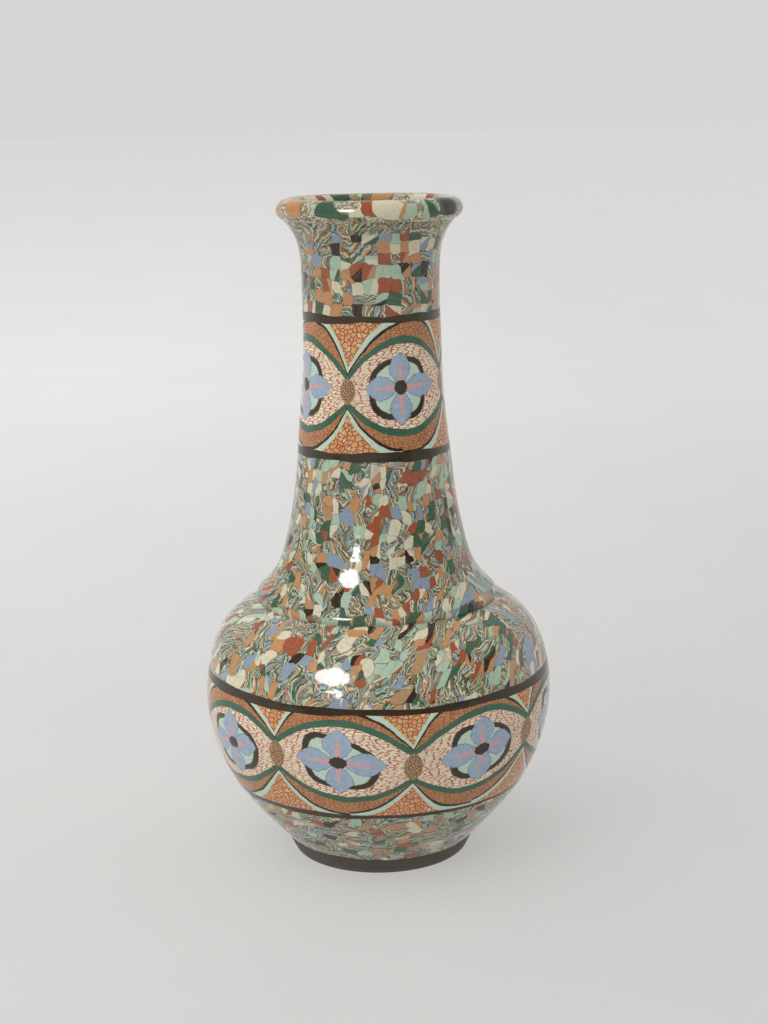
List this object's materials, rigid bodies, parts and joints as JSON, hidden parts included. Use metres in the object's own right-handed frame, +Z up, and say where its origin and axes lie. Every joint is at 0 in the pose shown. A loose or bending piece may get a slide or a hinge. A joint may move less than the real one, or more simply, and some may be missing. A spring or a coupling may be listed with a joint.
{
  "type": "pottery vase",
  "caption": "Footed globe vase with a flared collar, long narrow neck and rolled lip, its wall a mosaic of coloured clay with flowered friezes.",
  "frame": {"origin": "centre of the foot, on the surface that the vase stands on", "axes": "+Z up along the axis of the vase; -Y is the side shown as the front"},
  "size_m": [0.18, 0.18, 0.34],
  "materials": {
    "bare_foot_clay": "unglazed dark brown clay, dull, slightly rough",
    "floor_clay": "dark brown clay, dull below and thinly glazed above",
    "dark_band_clay": "very dark brown clay under clear gloss glaze",
    "mosaic_clay": "small pieces of plain and marbled coloured clay under clear gloss glaze",
    "flower_slice_clay": "cream clay with red crackle and a blue flower with a green edge, under clear gloss glaze",
    "orange_slice_clay": "orange clay with red crackle, a dark line and a pale green line, under clear gloss glaze",
    "speckled_clay": "tan clay with dark specks, under clear gloss glaze"
  },
  "bodies": {
    "root": {"belly_knot_1": "speckled_clay", "belly_knot_2": "speckled_clay", "belly_knot_3": "speckled_clay", "belly_knot_4": "speckled_clay", "belly_knot_5": "speckled_clay", "belly_knot_6": "speckled_clay", "belly_knot_7": "speckled_clay", "belly_knot_8": "speckled_clay", "belly_lower_spandrel_1": "orange_slice_clay", "belly_lower_spandrel_2": "orange_slice_clay", "belly_lower_spandrel_3": "orange_slice_clay", "belly_lower_spandrel_4": "orange_slice_clay", "belly_lower_spandrel_5": "orange_slice_clay", "belly_lower_spandrel_6": "orange_slice_clay", "belly_lower_spandrel_7": "orange_slice_clay", "belly_lower_spandrel_8": "orange_slice_clay", "belly_medallion_1": "flower_slice_clay", "belly_medallion_2": "flower_slice_clay", "belly_medallion_3": "flower_slice_clay", "belly_medallion_4": "flower_slice_clay", "belly_medallion_5": "flower_slice_clay", "belly_medallion_6": "flower_slice_clay", "belly_medallion_7": "flower_slice_clay", "belly_medallion_8": "flower_slice_clay", "belly_upper_spandrel_1": "orange_slice_clay", "belly_upper_spandrel_2": "orange_slice_clay", "belly_upper_spandrel_3": "orange_slice_clay", "belly_upper_spandrel_4": "orange_slice_clay", "belly_upper_spandrel_5": "orange_slice_clay", "belly_upper_spandrel_6": "orange_slice_clay", "belly_upper_spandrel_7": "orange_slice_clay", "belly_upper_spandrel_8": "orange_slice_clay", "flare_mosaic": "mosaic_clay", "floor_disc": "floor_clay", "foot_ring": "bare_foot_clay", "lip_roll": "mosaic_clay", "lower_belly_band": "dark_band_clay", "lower_belly_mosaic": "mosaic_clay", "lower_neck_band": "dark_band_clay", "neck_knot_1": "speckled_clay", "neck_knot_2": "speckled_clay", "neck_knot_3": "speckled_clay", "neck_knot_4": "speckled_clay", "neck_lower_spandrel_1": "orange_slice_clay", "neck_lower_spandrel_2": "orange_slice_clay", "neck_lower_spandrel_3": "orange_slice_clay", "neck_lower_spandrel_4": "orange_slice_clay", "neck_medallion_1": "flower_slice_clay", "neck_medallion_2": "flower_slice_clay", "neck_medallion_3": "flower_slice_clay", "neck_medallion_4": "flower_slice_clay", "neck_upper_spandrel_1": "orange_slice_clay", "neck_upper_spandrel_2": "orange_slice_clay", "neck_upper_spandrel_3": "orange_slice_clay", "neck_upper_spandrel_4": "orange_slice_clay", "shoulder_mosaic": "mosaic_clay", "throat_mosaic": "mosaic_clay", "upper_belly_band": "dark_band_clay", "upper_neck_band": "dark_band_clay"}
  },
  "joints": []
}
